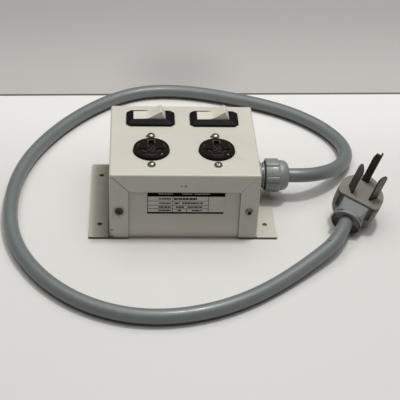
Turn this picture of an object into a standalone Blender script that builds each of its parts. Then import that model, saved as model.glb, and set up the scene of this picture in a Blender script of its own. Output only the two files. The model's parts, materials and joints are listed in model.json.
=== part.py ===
"""Switched power box with two round outlets, two rocker breakers, and a cord with an angled three-blade plug.

Row frame: +Z up, the box stands on z = 0, its front panel faces -Y, the cord leaves on +X.
Dimensions are in millimetres and are scaled to metres when a mesh is made.
"""

import math

import bmesh
import bpy
import numpy as np
from mathutils import Vector

MM = 0.001

# ---- driving dimensions -------------------------------------------------
BOX_W = 145.0          # box width, left to right
BOX_D = 125.0          # box depth, front to back
BOX_H = 75.5           # floor to top panel
SHEET = 1.2            # sheet thickness of cover and chassis
GAP = 0.3              # clearance between neighbouring pieces
FLANGE = 20.5          # mounting flange beyond each side
LIP = 20.0             # height of the front and back lips
FLAP = 18.8            # width of the corner flaps
HOLE_X, HOLE_Y, HOLE_R = 82.5, 42.0, 2.25
SCREW_X, SCREW_Z = 63.0, 32.6
OUTLET_X, OUTLET_Y, OUTLET_R = 32.0, -20.5, 17.5
OUTLET_TOP = 79.2
OUTLET_SCREW = 25.0    # from the outlet centre, front and back
BREAKER_X, BREAKER_Y = 32.2, 35.4
BEZEL_TOP = 81.2
BEZEL_EDGE = 78.1      # top of the bezel's upright outer edge
PIVOT_Z = 77.2
ROCKER_TILT = math.radians(17.0)
WINDOW_DX = -1.0       # window centre against bezel centre
ARM_TILT = math.radians(8.5)   # the contact arm leans half as far as the rocker, the other way
GLAND_Y, GLAND_Z = 7.0, 27.5
CORD_R = 7.3
PLUG_O = Vector((178.5, -34.1, 37.0))
PLUG_U = Vector((0.8696, -0.4135, -0.2698)).normalized()
PLUG_N = Vector((0.2450, -0.1130, 0.9629)).normalized()

# ---- scene and materials --------------------------------------------------
for old in list(bpy.data.objects):
    bpy.data.objects.remove(old, do_unlink=True)


def material(name, colour, metallic=0.0, rough=0.5):
    m = bpy.data.materials.new(name)
    m.use_nodes = True
    b = m.node_tree.nodes["Principled BSDF"]
    b.inputs["Base Color"].default_value = (*colour, 1.0)
    b.inputs["Metallic"].default_value = metallic
    b.inputs["Roughness"].default_value = rough
    return m


PAINT = material("paint_beige", (0.58, 0.56, 0.49), 0.0, 0.45)
PAINT2 = material("paint_chassis", (0.50, 0.49, 0.43), 0.0, 0.5)
BLACK = material("plastic_black", (0.012, 0.012, 0.013), 0.0, 0.4)
BROWN = material("bakelite_brown", (0.020, 0.013, 0.012), 0.0, 0.35)
IVORY = material("plastic_ivory", (0.74, 0.73, 0.64), 0.0, 0.35)
GREY = material("nylon_grey", (0.23, 0.25, 0.24), 0.0, 0.5)
PVC = material("pvc_grey", (0.21, 0.23, 0.225), 0.0, 0.5)
PLUGM = material("plug_grey", (0.24, 0.24, 0.22), 0.0, 0.55)
NICKEL = material("nickel", (0.55, 0.53, 0.48), 1.0, 0.3)
STEEL = material("zinc_steel", (0.50, 0.50, 0.50), 1.0, 0.4)
BRASS = material("brass", (0.60, 0.42, 0.17), 1.0, 0.35)
DARKBRASS = material("brass_tarnished", (0.07, 0.055, 0.035), 1.0, 0.45)
RUBBER = material("rubber_black", (0.03, 0.03, 0.03), 0.0, 0.8)
BOARD = material("board_green", (0.03, 0.18, 0.08), 0.0, 0.5)
BLUE = material("varistor_blue", (0.03, 0.09, 0.32), 0.0, 0.5)
LABEL = material("label_foil", (0.55, 0.53, 0.46), 0.2, 0.45)
WIRE_K = material("wire_black", (0.02, 0.02, 0.02), 0.0, 0.5)
WIRE_W = material("wire_white", (0.7, 0.7, 0.68), 0.0, 0.5)
WIRE_G = material("wire_green", (0.03, 0.25, 0.06), 0.0, 0.5)


# ---- builders -------------------------------------------------------------
def emit(name, bm, mat, origin=None, cutter=False):
    bmesh.ops.recalc_face_normals(bm, faces=bm.faces)
    at = Vector(origin) if origin is not None else Vector((0, 0, 0))
    for v in bm.verts:
        v.co = (v.co - at) * MM
    me = bpy.data.meshes.new(name)
    bm.to_mesh(me)
    bm.free()
    ob = bpy.data.objects.new(name, me)
    ob.location = at * MM
    bpy.context.scene.collection.objects.link(ob)
    if mat is not None:
        me.materials.append(mat)
    if cutter:
        ob.hide_render = True
        ob.display_type = "WIRE"
    return ob


def bm_box(x0, x1, y0, y1, z0, z1):
    bm = bmesh.new()
    v = [bm.verts.new((x, y, z)) for x in (x0, x1) for y in (y0, y1) for z in (z0, z1)]
    for f in ((0, 1, 3, 2), (4, 6, 7, 5), (0, 4, 5, 1), (2, 3, 7, 6), (0, 2, 6, 4), (1, 5, 7, 3)):
        bm.faces.new([v[i] for i in f])
    return bm


def bm_prism(poly, o, ex, ey, ez, depth):
    """A flat outline in the ex, ey plane at o, extruded by depth along ez."""
    o, ex, ey, ez = Vector(o), Vector(ex), Vector(ey), Vector(ez)
    bm = bmesh.new()
    a = [bm.verts.new(o + ex * p + ey * q) for p, q in poly]
    b = [bm.verts.new(o + ex * p + ey * q + ez * depth) for p, q in poly]
    n = len(poly)
    bm.faces.new(a)
    bm.faces.new(b)
    for i in range(n):
        bm.faces.new((a[i], a[(i + 1) % n], b[(i + 1) % n], b[i]))
    return bm


def frame_of(ax):
    ax = Vector(ax).normalized()
    side = Vector((0, 0, 1)) if abs(ax.z) < 0.9 else Vector((1, 0, 0))
    ex = side.cross(ax).normalized()
    return ex, ax.cross(ex).normalized(), ax


def bm_turn(prof, o, ax, seg=28, phase=0.0):
    """Turns (radius, height) stations about an axis. Stations at radius 0 close the ends; otherwise the outline closes on itself."""
    o = Vector(o)
    ex, ey, ez = frame_of(ax)
    bm = bmesh.new()
    rings = []
    for r, h in prof:
        if r == 0:
            rings.append([bm.verts.new(o + ez * h)])
        else:
            rings.append([
                bm.verts.new(o + ez * h + (ex * math.cos(t) + ey * math.sin(t)) * r)
                for t in (phase + 2 * math.pi * i / seg for i in range(seg))
            ])
    pairs = list(zip(rings, rings[1:]))
    if len(rings[0]) > 1:
        pairs.append((rings[-1], rings[0]))
    for a, b in pairs:
        for i in range(seg):
            j = (i + 1) % seg
            if len(a) == 1 and len(b) == 1:
                break
            if len(a) == 1:
                bm.faces.new((a[0], b[i], b[j]))
            elif len(b) == 1:
                bm.faces.new((a[i], a[j], b[0]))
            else:
                bm.faces.new((a[i], a[j], b[j], b[i]))
    return bm


def bm_loft(rings):
    bm = bmesh.new()
    rows = [[bm.verts.new(p) for p in ring] for ring in rings]
    n = len(rows[0])
    bm.faces.new(rows[0])
    bm.faces.new(rows[-1])
    for a, b in zip(rows, rows[1:]):
        for i in range(n):
            j = (i + 1) % n
            bm.faces.new((a[i], a[j], b[j], b[i]))
    return bm


def rod(r, h0, h1):
    return [(0, h0), (r, h0), (r, h1), (0, h1)]


def round_rect(hx, hy, r, n=3):
    pts = []
    for cx, cy, a0 in ((hx - r, hy - r, 0), (-hx + r, hy - r, 90), (-hx + r, -hy + r, 180), (hx - r, -hy + r, 270)):
        for i in range(n + 1):
            t = math.radians(a0 + 90 * i / n)
            pts.append((cx + r * math.cos(t), cy + r * math.sin(t)))
    return pts


count = [0]


def combine(ob, bm, op):
    count[0] += 1
    c = emit("tool_%03d" % count[0], bm, None, cutter=True)
    m = ob.modifiers.new("b%03d" % count[0], "BOOLEAN")
    m.operation = op
    m.solver = "EXACT"
    m.object = c
    return ob


def cut(ob, bm):
    return combine(ob, bm, "DIFFERENCE")


def add(ob, bm):
    return combine(ob, bm, "UNION")


Z = (0, 0, 1)
X = (1, 0, 0)
Y = (0, 1, 0)
HW, HD = BOX_W / 2, BOX_D / 2

# ---- chassis: bottom plate with flanges, front and back walls --------------
wall_y = HD - SHEET - GAP            # outer face of the folded walls
plate = [
    (HW + GAP, -wall_y), (HW + GAP, -HD), (HW + FLANGE - 1.5, -HD), (HW + FLANGE, -HD + 1.5),
    (HW + FLANGE, HD - 1.5), (HW + FLANGE - 1.5, HD), (HW + GAP, HD), (HW + GAP, wall_y),
]
plate += [(-x, y) for x, y in reversed(plate)]
base = emit("base_chassis", bm_prism(plate, (0, 0, 0), X, Y, Z, SHEET), PAINT2)
for s in (-1, 1):
    y0, y1 = sorted((s * wall_y, s * (wall_y - SHEET)))
    add(base, bm_box(-70.8, 70.8, y0, y1, 0.0, 72.3))
for sx in (-1, 1):
    for sy in (-1, 1):
        cut(base, bm_turn(rod(HOLE_R, -1, 3), (sx * HOLE_X, sy * HOLE_Y, 0), Z, 20))
        cut(base, bm_turn(rod(1.9, -3, 3), (sx * SCREW_X, sy * (wall_y - 0.6), SCREW_Z), Y, 16))

# ---- cover: top, sides, lips and corner flaps in one folded sheet -----------
bm = bm_box(-HW, HW, -HD, HD, 0.4, BOX_H)
edges = [e for e in bm.edges if not all(v.co.z < 1 for v in e.verts)]
bmesh.ops.bevel(bm, geom=edges, offset=1.6, segments=2, affect="EDGES", profile=0.5)
cover = emit("cover_shell", bm, PAINT)
ix, iy, iz = HW - SHEET, HD - SHEET, BOX_H - SHEET
cut(cover, bm_box(-ix, ix, -iy, iy, -2, iz))
cut(cover, bm_box(-(HW - FLAP), HW - FLAP, -HD - 2, HD + 2, -2, BOX_H - LIP))
for sx in (-1, 1):
    x0, x1 = sorted((sx * (ix - 2), sx * (HW + 1)))
    cut(cover, bm_box(x0, x1, -iy, iy, -2, SHEET + GAP))
    for sy in (-1, 1):
        c = Vector((sx * (HW - FLAP / 2 - 1.5), sy * (HD - 0.5), BOX_H - LIP / 2 - 1.5))
        d = Vector((sx * FLAP, 0, LIP)).normalized()
        t = Vector((-sx * LIP, 0, FLAP)).normalized()
        cut(cover, bm_prism([(-12.4, -0.25), (12.2, -0.25), (12.2, 0.25), (-12.4, 0.25)], c - Vector((0, 1.4, 0)), d, t, Y, 2.8))
        cut(cover, bm_turn(rod(2.2, -3, 3), (sx * SCREW_X, sy * HD, SCREW_Z), Y, 16))
    cut(cover, bm_box(sx * BREAKER_X - 22.2, sx * BREAKER_X + 22.2, BREAKER_Y - 10.5, BREAKER_Y + 10.5, 70, 80))
    cut(cover, bm_turn(rod(OUTLET_R + 0.6, 70, 80), (sx * OUTLET_X, OUTLET_Y, 0), Z, 32))
    for s in (-1, 1):
        cut(cover, bm_turn(rod(2.3, 70, 80), (sx * OUTLET_X, OUTLET_Y + s * OUTLET_SCREW, 0), Z, 14))
cut(cover, bm_turn(rod(10.4, 68, 78), (0, GLAND_Y, GLAND_Z), X, 24))

emit("nameplate", bm_prism(round_rect(37.3, 12.4, 0.8, 1), (1.6, -wall_y - GAP, 41.7), X, Z, (0, -1, 0), 0.45), LABEL)

for sx, side in ((-1, "left"), (1, "right")):
    for sy, face in ((-1, "front"), (1, "back")):
        emit("cover_screw_%s_%s" % (face, side),
             bm_turn([(0, 2.6), (1.9, 2.3), (3.3, 1.4), (3.9, 0.3), (3.9, 0), (1.5, 0), (1.5, -6), (0, -6)],
                     (sx * SCREW_X, sy * (HD + GAP), SCREW_Z), (0, sy, 0), 18), NICKEL)

# ---- outlets ------------------------------------------------------------------
SLOT_X, SLOT_Y, GROUND_Y = 8.7, -2.2, 9.4
for sx, side in ((-1, "left"), (1, "right")):
    cx, cy = sx * OUTLET_X, OUTLET_Y
    tag = "outlet_%s_" % side
    face = emit(tag + "face", bm_turn([(0, 71.2), (OUTLET_R, 71.2), (OUTLET_R, OUTLET_TOP - 0.6), (OUTLET_R - 0.7, OUTLET_TOP), (0, OUTLET_TOP)], (cx, cy, 0), Z, 40), BROWN)
    for dx in (-SLOT_X, SLOT_X):
        cut(face, bm_box(cx + dx - 3.5, cx + dx + 3.5, cy + SLOT_Y - 1.0, cy + SLOT_Y + 1.0, 70, 82))
    cut(face, bm_prism([(-2.5, -2.0), (2.5, -2.0), (2.5, 0.8), (1.3, 2.3), (-1.3, 2.3), (-2.5, 0.8)], (cx, cy + GROUND_Y, 70), X, Y, Z, 12))
    body = emit(tag + "body", bm_turn([(0, 47), (15.6, 47), (16.5, 48), (16.5, 70.9), (0, 70.9)], (cx, cy, 0), Z, 28), BROWN)
    for dx in (-SLOT_X, SLOT_X):
        cut(body, bm_box(cx + dx - 4.6, cx + dx + 4.6, cy + SLOT_Y - 3.0, cy + SLOT_Y + 3.0, 50, 72))
        clip = [(-2.6, 20), (-1.6, 20), (-1.3, 11), (-1.6, 1.0), (1.6, 1.0), (1.3, 11), (1.6, 20), (2.6, 20), (2.6, 0), (-2.6, 0)]
        emit(tag + ("contact_a" if dx < 0 else "contact_b"), bm_prism(clip, (cx + dx - 4.2, cy + SLOT_Y, 50.4), Y, Z, X, 8.4), BRASS)
    cut(body, bm_box(cx - 4.0, cx + 4.0, cy + GROUND_Y - 3.4, cy + GROUND_Y + 3.0, 50, 72))
    clip = [(-3.5, 20), (-2.6, 20), (-2.6, 1.0), (2.6, 1.0), (2.6, 20), (3.5, 20), (3.5, 0), (-3.5, 0)]
    emit(tag + "contact_ground", bm_prism(clip, (cx, cy + GROUND_Y - 3.0, 50.4), X, Z, Y, 5.6), BRASS)
    strap = emit(tag + "strap", bm_turn([(18.4, 72.5), (21.2, 72.5), (21.2, 73.9), (18.4, 73.9)], (cx, cy, 0), Z, 32), STEEL)
    for s in (-1, 1):
        y0, y1 = sorted((cy + s * 19.6, cy + s * 30.0))
        add(strap, bm_box(cx - 7.5, cx + 7.5, y0, y1, 72.5, 73.9))
        cut(strap, bm_turn(rod(2.0, 71, 75), (cx, cy + s * OUTLET_SCREW, 0), Z, 14))
        emit(tag + ("screw_back" if s > 0 else "screw_front"),
             bm_turn([(0, 2.7), (2.0, 2.4), (3.4, 1.5), (4.1, 0.3), (4.1, 0), (1.7, 0), (1.7, -9), (0, -9)],
                     (cx, cy + s * OUTLET_SCREW, BOX_H + GAP), Z, 18), NICKEL)

# ---- rocker breakers -------------------------------------------------------------
own = [(0, 3.97), (14.57, 8.43), (16.47, -0.85), (16.0, -3.2), (7.0, -4.6), (2.4, -12.5), (-2.4, -12.5), (-7.0, -4.6), (-16.0, -3.2), (-16.47, -0.85), (-14.57, 8.43)]
ca, sa = math.cos(ROCKER_TILT), math.sin(ROCKER_TILT)
tilted = [(x * ca - z * sa, x * sa + z * ca) for x, z in own]
for sx, side in ((-1, "left"), (1, "right")):
    bx, by = sx * BREAKER_X, BREAKER_Y
    wx = bx + WINDOW_DX
    tag = "breaker_%s_" % side
    low, high = BOX_H + GAP, BEZEL_TOP
    rings = [[(bx + dx + x, by + y, z) for x, y in round_rect(hx, hy, r)] for hx, hy, r, dx, z in ((24.5, 13.2, 2.4, 0, low), (24.5, 13.2, 2.4, 0, BEZEL_EDGE), (18.2, 8.8, 1.2, WINDOW_DX, high))]
    bezel = emit(tag + "bezel", bm_loft(rings), BLACK)
    cut(bezel, bm_box(wx - 17.0, wx + 17.0, by - 7.6, by + 7.6, 70, 90))
    cut(bezel, bm_turn(rod(1.45, -10.2, 10.2), (wx, by, PIVOT_Z), Y, 16))
    rocker = emit(tag + "rocker", bm_prism(tilted, (wx, by - 7.2, PIVOT_Z), X, Z, Y, 14.4), IVORY, origin=(wx, by, PIVOT_Z))
    cut(rocker, bm_turn(rod(1.45, -9, 9), (wx, by, PIVOT_Z), Y, 16))
    emit(tag + "pivot_pin", bm_turn(rod(1.15, -9.9, 9.9), (wx, by, PIVOT_Z), Y, 12), STEEL)
    case = emit(tag + "housing", bm_box(bx - 21, bx + 21, by - 9.6, by + 9.6, 48, BOX_H - 0.1), BLACK)
    cut(case, bm_box(bx - 19.4, bx + 19.4, by - 8.0, by + 8.0, 50, 80))
    for dx, letter in ((-13.0, "a"), (13.0, "b")):
        cut(case, bm_box(bx + dx - 0.9, bx + dx + 0.9, by - 3.6, by + 3.6, 40, 52))
        t = emit(tag + "terminal_" + letter, bm_box(bx + dx - 0.4, bx + dx + 0.4, by - 3.1, by + 3.1, 34.0, 54.0), BRASS)
    arm = [(-12.0, 1.0), (-11.8, 0.2), (-1.6, -1.4), (1.6, -1.4), (11.8, 0.2), (12.0, 1.0), (1.6, 1.0), (0, 1.5), (-1.6, 1.0)]
    arm = [(x * math.cos(ARM_TILT) + z * math.sin(ARM_TILT), z * math.cos(ARM_TILT) - x * math.sin(ARM_TILT)) for x, z in arm]
    emit(tag + "contact_arm", bm_prism(arm, (wx, by - 3.0, 58.0), X, Z, Y, 6.0), BRASS, origin=(wx, by, 58.0))

# ---- cable gland -------------------------------------------------------------------
gy, gz = GLAND_Y, GLAND_Z
G = (0, gy, gz)
emit("gland_washer", bm_turn([(10.4, 72.8), (14.2, 72.8), (14.2, 74.1), (10.4, 74.1)], G, X, 28), RUBBER)
gb = emit("gland_body", bm_turn([(8.0, 62.0), (9.9, 62.0), (9.9, 74.4), (13.6, 74.4), (13.6, 84.6), (11.9, 84.6), (11.9, 93.0), (8.0, 93.0)], G, X, 30), GREY)
locknut = emit("gland_locknut", bm_turn(rod(14.8, 66.2, 71.0), G, X, 6), GREY)
cut(locknut, bm_turn(rod(10.2, 60, 75), G, X, 28))
nut = [(12.3, 85.4), (16.6, 85.4), (17.2, 86.2), (17.2, 98.6), (15.8, 99.8), (15.3, 103.8), (13.9, 106.6), (12.0, 108.3), (9.6, 109.3), (7.9, 109.5), (8.0, 107.6), (12.3, 101.0)]
emit("gland_dome_nut", bm_turn(nut, G, X, 32), GREY)
emit("gland_seal", bm_turn([(7.7, 93.4), (11.6, 93.4), (11.8, 100.4), (8.4, 105.4), (7.7, 105.4)], G, X, 24), RUBBER)


# ---- cord ----------------------------------------------------------------------------
def natural_spline(stations, n):
    """n points at equal steps along the natural cubic spline through the stations."""
    p = np.array(stations, float)
    t = np.r_[0, np.cumsum(np.linalg.norm(np.diff(p, axis=0), axis=1))]
    h = np.diff(t)
    m = len(p)
    a = np.eye(m)
    b = np.zeros((m, 3))
    for i in range(1, m - 1):
        a[i, i - 1], a[i, i], a[i, i + 1] = h[i - 1], 2 * (h[i - 1] + h[i]), h[i]
        b[i] = 6 * ((p[i + 1] - p[i]) / h[i] - (p[i] - p[i - 1]) / h[i - 1])
    k = np.linalg.solve(a, b)

    def at(s):
        i = min(max(int(np.searchsorted(t, s) - 1), 0), m - 2)
        w, v = (t[i + 1] - s), (s - t[i])
        return (k[i] * w**3 + k[i + 1] * v**3) / (6 * h[i]) + (p[i] / h[i] - k[i] * h[i] / 6) * w + (p[i + 1] / h[i] - k[i + 1] * h[i] / 6) * v

    fine = np.array([at(s) for s in np.linspace(0, t[-1], 1200)])
    d = np.r_[0, np.cumsum(np.linalg.norm(np.diff(fine, axis=0), axis=1))]
    return np.stack([np.interp(np.linspace(0, d[-1], n), d, fine[:, c]) for c in range(3)], 1)


def tube(name, points, radius, mat, res=2):
    cu = bpy.data.curves.new(name, "CURVE")
    cu.dimensions = "3D"
    cu.bevel_depth = radius * MM
    cu.bevel_resolution = res
    cu.use_fill_caps = True
    sp = cu.splines.new("POLY")
    sp.points.add(len(points) - 1)
    for q, pt in zip(sp.points, points):
        q.co = (*[c * MM for c in pt], 1)
    cu.materials.append(mat)
    ob = bpy.data.objects.new(name, cu)
    bpy.context.scene.collection.objects.link(ob)
    return ob


FLOOR_Z = CORD_R + 0.1
CORD_STATIONS = [
    (58, gy, gz), (86, gy, gz), (110, 6.9, gz), (122, 7.5, 27.2), (133, 10.5, 25.8), (144.5, 16.9, 23.3),
    (156, 26.2, 20.0), (166.4, 38.3, 16.5), (174.6, 51.5, 13.4), (180.0, 66.5, 10.8), (181.2, 85, 8.8),
    (174.5, 109, 7.6), (158, 134, FLOOR_Z), (117, 167.6, FLOOR_Z), (63, 190.8, FLOOR_Z), (5, 204.8, FLOOR_Z),
    (-40, 201.5, FLOOR_Z), (-95.5, 165.3, FLOOR_Z), (-136, 113.3, FLOOR_Z), (-163.4, 52.2, FLOOR_Z),
    (-172, -12.7, FLOOR_Z), (-164.7, -70, FLOOR_Z), (-140, -121.4, FLOOR_Z), (-102.8, -159.6, FLOOR_Z),
    (-51, -182.4, FLOOR_Z), (2, -181.6, FLOOR_Z), (57.6, -159.5, FLOOR_Z), (98, -130, 8.1), (129.4, -102.5, 11.2),
    (144.6, -86.8, 13.3), (153.2, -73.6, 14.9), (160.6, -58.0, 15.8), (169.0, -39.2, 16.4),
]
tube("cord", natural_spline(CORD_STATIONS, 79), CORD_R, PVC, 2)

for name, dy, dz, end, mat in (
    ("wire_hot", -3.2, -2.0, (38, -31, 20.0), WIRE_K),
    ("wire_neutral", 3.2, -2.0, (22, -31, 20.0), WIRE_W),
    ("wire_ground", 0.0, 3.4, (30, -31, 20.0), WIRE_G),
):
    pts = natural_spline([(57.2, gy + dy, gz + dz), (48, gy + dy * 1.3, gz + dz * 1.2), (end[0] + 5, -6 + dy, 26 + dz), (end[0], end[1] + 4, 25), (end[0], end[1], end[2])], 11)
    tube(name, pts, 1.7, mat, 1)

# ---- angled plug ------------------------------------------------------------------------
PU, PN = PLUG_U, (PLUG_N - PLUG_U * PLUG_N.dot(PLUG_U)).normalized()
PV = PN.cross(PU).normalized()


def plug_at(u, v, n):
    return PLUG_O + PU * u + PV * v + PN * n


half = [(0, 29.6), (4.5, 28.8), (9.0, 26.2), (14.0, 21.2), (18.4, 15.0), (20.8, 10.6), (22.7, 4.0), (23.1, -3.0), (22.7, -10.0), (21.0, -14.6), (18.4, -16.4)]
FACE = half + [(-u, v) for u, v in reversed(half[1:])]


def plug_ring(scale, n, dv=0.0):
    return [plug_at(u * scale, (v - 6) * scale + 6 + dv, n) for u, v in FACE]


face = emit("plug_face", bm_loft([plug_ring(0.985, -2.2), plug_ring(0.985, -0.5), plug_ring(0.965, 0.0)]), PLUGM)
head = emit("plug_body", bm_loft([plug_ring(1.0, -2.5), plug_ring(1.01, -8), plug_ring(0.99, -16), plug_ring(0.90, -25), plug_ring(0.66, -33.5)]), PLUGM)
axis = Vector((0.41, 0.91, 0.03)).normalized()      # into the plug along the cord
rim = Vector((160.6, -58.0, 15.9))
up = (PN - axis * PN.dot(axis)).normalized()
across = up.cross(axis).normalized()


def oval(a, b, along, seg=24):
    return [rim + axis * along + across * (a * math.cos(t)) + up * (b * math.sin(t)) for t in (2 * math.pi * i / seg for i in range(seg))]


add(head, bm_loft([oval(14.6, 12.0, 0.0), oval(15.4, 12.6, 1.6), oval(15.6, 12.8, 14.0), oval(13.0, 11.0, 30.0)]))
cut(head, bm_loft([oval(13.2, 10.7, -3.0), oval(12.6, 10.2, 9.0)]))
cut(head, bm_turn(rod(CORD_R + 0.4, 5.0, 24.0), rim, axis, 20))
for s in (-1, 1):      # finger notches either side of the cord block
    cut(head, bm_prism([(-2.6, -3.0), (2.6, -3.0), (1.8, 3.0), (-1.8, 3.0)], plug_at(s * 16.4, -16.0, -3.2), PU, PV, -PN, 13.0))

# blades: two angled line blades and one L-shaped neutral blade
BLADE_T, BLADE_W = 1.9, 12.0
BW = BLADE_W / 2
BLADES = (
    ("plug_blade_left", -1, 61, (-11.1, -5.0), [(BW, 26.4), (3.6, 31.8), (-1.0, 31.8), (-4.9, 30.2), (-BW, 27.4)]),
    ("plug_blade_right", 1, 62, (12.3, -2.2), [(BW, 24.2), (4.2, 28.6), (2.6, 29.4), (-3.2, 29.4), (-BW, 25.0)]),
)
for name, s, angle, (cu, cv), tip in BLADES:
    d = PU * math.cos(math.radians(angle)) * s + PV * math.sin(math.radians(angle))
    t = PN.cross(d).normalized()
    c = plug_at(cu, cv, 0)
    emit(name, bm_prism([(-BW, -10), (BW, -10)] + tip, c - t * (BLADE_T / 2), d, PN, t, BLADE_T), DARKBRASS)
    for low_n, ob in ((-12, face), (-10.5, head)):
        slot = [(-BW - 0.4, low_n), (BW + 0.4, low_n), (BW + 0.4, 4), (-BW - 0.4, 4)]
        cut(ob, bm_prism(slot, c - t * (BLADE_T / 2 + 0.4), d, PN, t, BLADE_T + 0.8))
ell = [(-6.4, 17.2), (1.2, 17.2), (1.2, 23.6), (-0.7, 23.6), (-0.7, 19.1), (-6.4, 19.1)]
neutral = emit("plug_blade_neutral", bm_prism(ell, plug_at(0, 0, -10), PU, PV, PN, 46.4), DARKBRASS)
cut(neutral, bm_prism([(-8, 0.6), (-2.2, -0.4), (-4.1, 7.2), (-8, 7.2)], plug_at(-2.6, 10, 36.4), PU, -PN, PV, 16))
wide = [(-6.8, 16.8), (1.6, 16.8), (1.6, 24.0), (-1.1, 24.0), (-1.1, 19.5), (-6.8, 19.5)]
cut(face, bm_prism(wide, plug_at(0, 0, -12), PU, PV, PN, 16))
cut(head, bm_prism(wide, plug_at(0, 0, -10.5), PU, PV, PN, 14))

# ---- surge module inside the box ---------------------------------------------------------------
board = emit("surge_board", bm_box(-60, 2, -50, 8, 7.0, 8.6), BOARD)
for x, y in ((-55, -45), (-3, -45), (-55, 3), (-3, 3)):
    add(board, bm_turn(rod(3.0, 1.6, 7.8), (x, y, 0), Z, 12))
for i in range(3):
    x = -48 + 19 * i
    disc = emit("surge_varistor_%d" % (i + 1), bm_turn([(0, -2.3), (9.0, -2.3), (10.0, -1.4), (10.0, 1.4), (9.0, 2.3), (0, 2.3)], (x, -18, 22), X, 22), BLUE)
    for s in (-1, 1):
        add(disc, bm_box(x - 0.5, x + 0.5, -18 + s * 5 - 0.5, -18 + s * 5 + 0.5, 8.9, 16.0))
block = emit("terminal_block", bm_box(16, 44, -44, -25, 1.6, 18.0), BLACK)
for x in (22, 30, 38):
    cut(block, bm_turn(rod(2.6, 6.0, 20.0), (x, -39, 0), Z, 14))
emit("ground_stud", bm_turn([(0, 1.6), (5.0, 1.6), (5.0, 3.4), (2.3, 3.4), (2.3, 19.0), (0, 19.0)], (-50, 40, 0), Z, 16), STEEL)
gnut = emit("ground_nut", bm_turn(rod(4.8, 6.0, 9.6), (-50, 40, 0), Z, 6), STEEL)
cut(gnut, bm_turn(rod(2.7, 4, 12), (-50, 40, 0), Z, 16))
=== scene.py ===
"""Looks of the switched power box with two round outlets, two rocker breakers, and a cord with an angled three-blade plug."""

import json
import math
import random

import bmesh
import bpy
import numpy as np
from mathutils import Matrix, Vector


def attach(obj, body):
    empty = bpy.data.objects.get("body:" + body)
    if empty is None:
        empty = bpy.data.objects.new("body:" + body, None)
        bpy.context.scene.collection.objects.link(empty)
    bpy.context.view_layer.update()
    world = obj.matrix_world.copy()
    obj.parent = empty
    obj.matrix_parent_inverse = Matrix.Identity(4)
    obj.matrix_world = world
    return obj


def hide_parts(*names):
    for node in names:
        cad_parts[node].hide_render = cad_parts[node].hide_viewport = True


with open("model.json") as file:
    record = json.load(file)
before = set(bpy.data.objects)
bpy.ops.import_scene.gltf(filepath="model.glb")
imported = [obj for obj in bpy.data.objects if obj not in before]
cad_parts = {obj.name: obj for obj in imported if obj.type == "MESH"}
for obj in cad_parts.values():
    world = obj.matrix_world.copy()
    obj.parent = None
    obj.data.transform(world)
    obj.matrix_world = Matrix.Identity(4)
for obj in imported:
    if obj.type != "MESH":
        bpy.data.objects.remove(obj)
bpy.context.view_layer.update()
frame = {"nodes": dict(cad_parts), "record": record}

MM = 0.001
X, Y, Z = Vector((1, 0, 0)), Vector((0, 1, 0)), Vector((0, 0, 1))

# ---- camera ---------------------------------------------------------------------
cam_data = bpy.data.cameras.new("camera")
cam_data.lens, cam_data.sensor_width = 99.53, 36.0
cam_data.clip_start, cam_data.clip_end = 0.05, 40.0
cam = bpy.data.objects.new("camera", cam_data)
bpy.context.scene.collection.objects.link(cam)
fwd = Vector((0.0614, 0.8023, -0.5938)).normalized()
right = fwd.cross(Vector((-0.0047, 0.5951, 0.8036))).normalized()
upv = right.cross(fwd)
cam.matrix_world = Matrix.Translation((-0.050598, -0.915726, 0.678189)) @ Matrix((right, upv, -fwd)).transposed().to_4x4()
bpy.context.scene.camera = cam


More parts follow.
